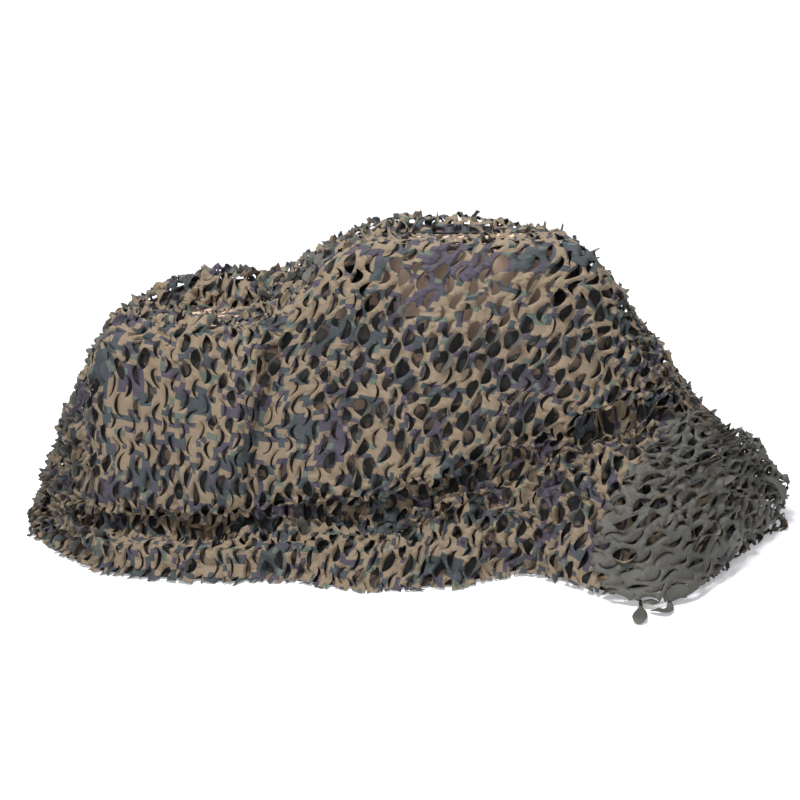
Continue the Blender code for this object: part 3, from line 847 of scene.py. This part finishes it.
# Each tongue turns and curls about its chord, to the inside or the outside, and draws the strand behind
# it along. A closed one stands a little proud, and an open one may be turned over.
away, along, side = named("away"), named("along"), named("side")
hinge = net.vector("SUBTRACT", place, net.join(side * away, along))
hinge_x, hinge_y, _ = net.parts(hinge)
column = (hinge_x / sizes["Column pitch"] + 0.25).work("FLOOR")
key = column * 601 + (hinge_y * 2 / sizes["Row pitch"]).work("ROUND")
open_here = on_lie(named("open"), laid(hinge))
wide_open = chance(0.0, 1.0, 1) < open_here
closed = 1.0 - wide_open
free = away.work("MAXIMUM", 0.0)
behind = 1.0 - (free - away) * (1 / PULLED_BEHIND)
eager = wide_open * chance(0.25, 1.0, 6) + closed * chance(0.08, 0.48, 7)
inwards = chance(0.0, 1.0, 2) < 0.66 + closed * 0.2
way = 1.0 - inwards * 2.0
turned_over = (1.0 - inwards) * wide_open * chance(0.2, 1.7, 8)
first_turn = (way * eager * (0.75 + closed * 0.2) + turned_over) * sizes["Curl"] + 0.02
bend = way * (eager * chance(8.0, 60.0, 3) + 5.0) * sizes["Curl"]
last_turn = first_turn + bend * free
drawn = 1.0 - chance(0.10, 0.55, 4) * (open_here * 3.0).work("MINIMUM", 1.0)
reach_in = (last_turn.work("SINE") - first_turn.work("SINE")) / bend * drawn
reach_out = (first_turn.work("COSINE") - last_turn.work("COSINE")) / bend
slant = chance(-0.35, 0.35, 5) * along * eager * (free * (1 / (CUT_RADIUS - hinge_off)))
share = along / chord
bow = (wide_open * chance(0.6, 1.0, 9) + closed * 0.12) * (1 - share * share) * (1 - share * side * 0.6)
bow = bow * behind * sizes["Hinge bow"]
pulled = net.vector("ADD", place, net.join(side * (reach_in - free - bow)))

# Slack cloth shifts in its own plane, crumples, and flutters at the scale of its strands.
slack_here = on_lie(named("slack"), laid(pulled))
crumple_scale = 1 / sizes["Crumple length"]
shifted = net.vector("SUBTRACT", net.noise(pulled, crumple_scale, 1.0, "Color"), (0.5, 0.5, 0.5))
shifted = net.vector("MULTIPLY", shifted, net.join(slack_here * 0.02 + 0.042, slack_here * 0.03 + 0.042))
spot = laid(net.vector("ADD", pulled, shifted))
crumples = net.noise(net.vector("MULTIPLY", pulled, (0.6, 1.25, 1.0)), crumple_scale, 2.0, Roughness=0.45)
flutter = net.noise(pulled, 34.0, 1.0)
twist = net.noise(pulled, 58.0, 0.0)
rise = ((crumples - 0.5).work("ABSOLUTE") * 3.2 - 0.34) * slack_here * sizes["Crumple"]
flutter = ((flutter - 0.5).work("ABSOLUTE") * 5 - 0.5) * sizes["Flutter"]
rise = rise + flutter * (slack_here * 2 + open_here) + (twist - 0.5) * 2 * sizes["Twist"] * slack_here

# The cloth is carried over to the lie, above what it rests on, and what has no place there is deleted.
surface = on_lie(place, spot, "FLOAT_VECTOR")
outwards = on_lie(net.node("GeometryNodeInputNormal"), spot, "FLOAT_VECTOR")
found = on_lie(place, spot, "FLOAT_VECTOR", "Is Valid")
height = (reach_out + slant + rise).work("MAXIMUM", 0.0 - on_lie(named("room"), spot))
height = height * on_lie(named("up"), spot)
lifted_x, lifted_y, lifted_z = net.parts(net.vector("ADD", surface, net.vector("SCALE", outwards, height)))
lifted = net.join(lifted_x, lifted_y, lifted_z.work("MAXIMUM", LOWEST))
cloth = store(cloth, "lost", 1.0 - found)
cloth = store(cloth, "flat_cloth", laid(place), "FLOAT_VECTOR")
cloth = net.node("GeometryNodeSetPosition", {}, {"Geometry": cloth, "Position": lifted})
cloth = delete(cloth, named("lost") > 0.01)
island = net.node("GeometryNodeInputMeshIsland", {}, {}, "Island Index")
by_island = {"Value": 1, "Group ID": island}
crowd = net.node("GeometryNodeAccumulateField", {"data_type": "INT", "domain": "POINT"}, by_island, "Total")
cloth = delete(cloth, crowd < SMALLEST_SCRAP)
metres = net.join(sizes["Flat span"], sizes["Flat span"])
metres = net.vector("MULTIPLY", named("flat_cloth", "FLOAT_VECTOR"), metres)
cloth = store(cloth, "flat", metres, "FLOAT2", "CORNER")
cloth = net.node("GeometryNodeRealizeInstances", {}, {"Geometry": cloth})
cloth = net.node("GeometryNodeSetShadeSmooth", {}, {"Geometry": cloth, "Shade Smooth": True})
cloth = net.node("GeometryNodeSetMaterial", {}, {"Geometry": cloth, "Material": sizes["Front"]})
result = layout.nodes.new("NodeGroupOutput")
layout.links.new(cloth.socket, result.inputs["Net"])


def thicken(piece, offset):
    """Gives a sheet the thickness of the cloth, and the reverse of it its own finish if it has one."""
    thick = piece.modifiers.new("Thickness", "SOLIDIFY")
    thick.thickness = NET_SHEET
    thick.offset = offset
    thick.material_offset = thick.material_offset_rim = len(piece.data.materials) - 1


def declare(piece, turn=0.0):
    """Reads the piece's flat coordinates, per triangle and turned back, and uses none of them; hangs the piece
    under the root body and hides the part net.
    """
    cut = piece.data
    cut.calc_loop_triangles()
    corners = np.zeros(len(cut.loop_triangles) * 3, dtype=np.int32)
    cut.loop_triangles.foreach_get("loops", corners)
    flat = np.zeros(len(cut.loops) * 2)
    cut.uv_layers["flat"].data.foreach_get("uv", flat)
    flat = flat.reshape(-1, 2)
    a, b, c = flat[corners.reshape(-1, 3)].transpose(1, 0, 2)
    (ab_u, ab_v), (ac_u, ac_v) = (b - a).T, (c - a).T
    spun = flat @ np.array([[math.cos(-turn), math.sin(-turn)], [-math.sin(-turn), math.cos(-turn)]])
    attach(piece, "root")
    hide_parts("net")


for name, lie_used, first_column, column_count, first_row, row_count, turn in PLIES:
    piece = bpy.data.objects.new(name, bpy.data.meshes.new(name))
    scene.collection.objects.link(piece)
    spread = piece.modifiers.new("Cut net", "NODES")
    spread.node_group = layout
    for title, value in (
        ("Columns", column_count), ("Rows", row_count), ("First column", first_column),
        ("First row", first_row), ("Turn", turn), ("Cell", cell_object), ("Lie", lie_used), ("Front", printed),
    ):
        spread[inputs[title]] = value
    cut = bpy.data.meshes.new_from_object(piece.evaluated_get(bpy.context.evaluated_depsgraph_get()))
    piece.modifiers.clear()
    piece.data = cut
    cut.name = name
    for extra in ("away", "along", "side", "rim", "lost", "flat_cloth"):
        cut.attributes.remove(cut.attributes[extra])
    cut.materials.clear()
    cut.materials.append(printed)
    cut.materials.append(plain)
    cut.polygons.foreach_set("material_index", np.zeros(len(cut.polygons), dtype=np.int32))
    cut.shade_smooth()
    cut.set_sharp_from_angle(angle=CREASE_ANGLE)
    thicken(piece, -1.0)
    declare(piece, turn)

# ======================================
# The ply below. The net lies double, and this is the lower ply, its reverse up and its cuts closed. It hangs
# closer to the cartons, and shows only in the holes of the upper ply. Its finish is painted shade rather than
# the reverse's own colour: dark brown, with patches painted as kraft board in shade, as dark net and as
# near-black hollows.
# ======================================
# Painted shade: these colours stand for cloth and board deep in the shade of the upper ply, not their own
# colours.
PAINTED_SHADE_BROWN = (0.048, 0.034, 0.026, 1.0)
PAINTED_SHADE_DARK = (0.024, 0.018, 0.014, 1.0)
PAINTED_SHADE_PATCHES = (  # scale, offset, radius left clear, painted-shade colour of the patch
    (23.0, (4.9, 3.3, 0.0), 0.42, (0.135, 0.090, 0.066, 1.0)),
    (30.0, (2.3, 5.1, 0.0), 0.47, (0.030, 0.032, 0.031, 1.0)),
    (27.0, (8.3, 1.7, 0.0), 0.42, (0.005, 0.004, 0.004, 1.0)),
)
THINNED = 2  # only every other point of the fine drape is used

# The lower ply's finish is painted shade: dark brown, with patches painted as shaded board, dark net and
# near-black hollows.
painted_shade_finish, tree, shader, flat_place, weave, creases = new_cloth_finish("reverse_with_painted_shade")
colour = tree.blend(creases, PAINTED_SHADE_BROWN, PAINTED_SHADE_DARK)
for scale, offset, radius, tint in PAINTED_SHADE_PATCHES:
    moved = {"Vector": tree.vector("ADD", flat_place, offset), "Scale": scale}
    apart = tree.node("ShaderNodeTexVoronoi", {"voronoi_dimensions": "2D"}, moved, "Distance")
    colour = tree.blend(apart > radius, colour, tint)
finish_with(tree, shader, colour, creases * 0.12 + 0.7, creases + weave * 0.3, 0.35, 0.0008)

wide = NET_COLUMNS + 2
place, normal = np.zeros(wide * ROWS * 3), np.zeros(wide * ROWS * 3)
net_lie.data.vertices.foreach_get("co", place)
net_lie.data.vertex_normals.foreach_get("vector", normal)
sunk = place.reshape(wide, ROWS, 3) - normal.reshape(wide, ROWS, 3) * depth[:wide, :, None]
sunk[..., 2] = np.maximum(sunk[..., 2], LOWEST)
deep = depth[:wide:THINNED, ::THINNED]
quads = grid_faces(*deep.shape)
quads = quads[deep.ravel()[quads].min(axis=1) > UNDER_THIN]
used, quads = np.unique(quads, return_inverse=True)
sunk, flat = (whole[::THINNED, ::THINNED].reshape(deep.size, -1)[used] for whole in (sunk, net_flat))
under = new_cloth("net_below", sunk, quads.reshape(-1, 4).tolist(), flat)
under.data.materials.append(painted_shade_finish)
declare(under)

# ======================================
# Torn strands. Three strands of the cut cloth have torn at the turned-over end. Two hang from its tip
# onto the floor in front of it, each ending in a round tongue, and one stands off its right-hand edge.
# ======================================
STRANDS = (  # five places down the middle: x, y, z, width there
    ((0.536, -0.440, 0.014, 0.006), (0.534, -0.470, 0.005, 0.010), (0.528, -0.510, 0.007, 0.032),
     (0.520, -0.545, 0.012, 0.034), (0.517, -0.560, 0.004, 0.008)),
    ((0.604, -0.440, 0.014, 0.006), (0.602, -0.474, 0.005, 0.018), (0.585, -0.500, 0.010, 0.028),
     (0.565, -0.496, 0.012, 0.020), (0.552, -0.484, 0.004, 0.005)),
    ((0.885, 0.020, 0.160, 0.008), (0.915, 0.008, 0.162, 0.012), (0.938, 0.000, 0.150, 0.013),
     (0.952, -0.002, 0.132, 0.024), (0.956, -0.002, 0.108, 0.006)),
)
STRAND_FACES_UP = ((0.0, 0.0, 1.0), (0.0, 0.0, 1.0), (0.3, -1.0, 0.2))
STRAND_ROWS, STRAND_POINTS = 18, 5  # down a strand and across it
STRAND_CUP = 8.0  # rise of its edges, by the square of the way from its middle
STRAND_APART = 0.04  # of one strand's flat place from the next

strand_points, strand_flat = [], []
for number, (strand, faces_up) in enumerate(zip(STRANDS, STRAND_FACES_UP)):
    rows = np.array(strand)
    down_strand = np.linspace(0, len(strand) - 1, STRAND_ROWS)
    middle = np.stack([np.interp(down_strand, range(len(strand)), rows[:, k]) for k in range(3)], axis=-1)
    middle[1:-1] = (middle[:-2] + 2 * middle[1:-1] + middle[2:]) / 4
    width = np.interp(down_strand, range(len(strand)), rows[:, 3] ** 2) ** 0.5
    aside = np.cross(np.gradient(middle, axis=0), faces_up)
    aside /= np.linalg.norm(aside, axis=1, keepdims=True)
    down_run = np.concatenate([[0], np.cumsum(np.linalg.norm(np.diff(middle, axis=0), axis=1))])
    for k in range(STRAND_POINTS):
        off = (k / (STRAND_POINTS - 1) - 0.5) * width
        cup = np.array([0.0, 0.0, STRAND_CUP]) * (off ** 2)[:, None]
        strand_points.append(middle + aside * off[:, None] + cup)
        strand_flat.append(np.stack([0.02 + STRAND_APART * number + off, 0.01 + down_run], axis=-1))
first_points = np.arange(len(STRANDS))[:, None, None] * STRAND_POINTS * STRAND_ROWS
strand_faces = (grid_faces(STRAND_POINTS, STRAND_ROWS) + first_points).reshape(-1, 4)
shape = np.concatenate(strand_points)
strands = new_cloth("net_strands", shape, strand_faces.tolist(), np.concatenate(strand_flat))
strands.data.materials.append(plain)
thicken(strands, 1.0)
declare(strands)

for spent in (net_lie, corner_lie, cell_object):
    bpy.data.objects.remove(spent, do_unlink=True)
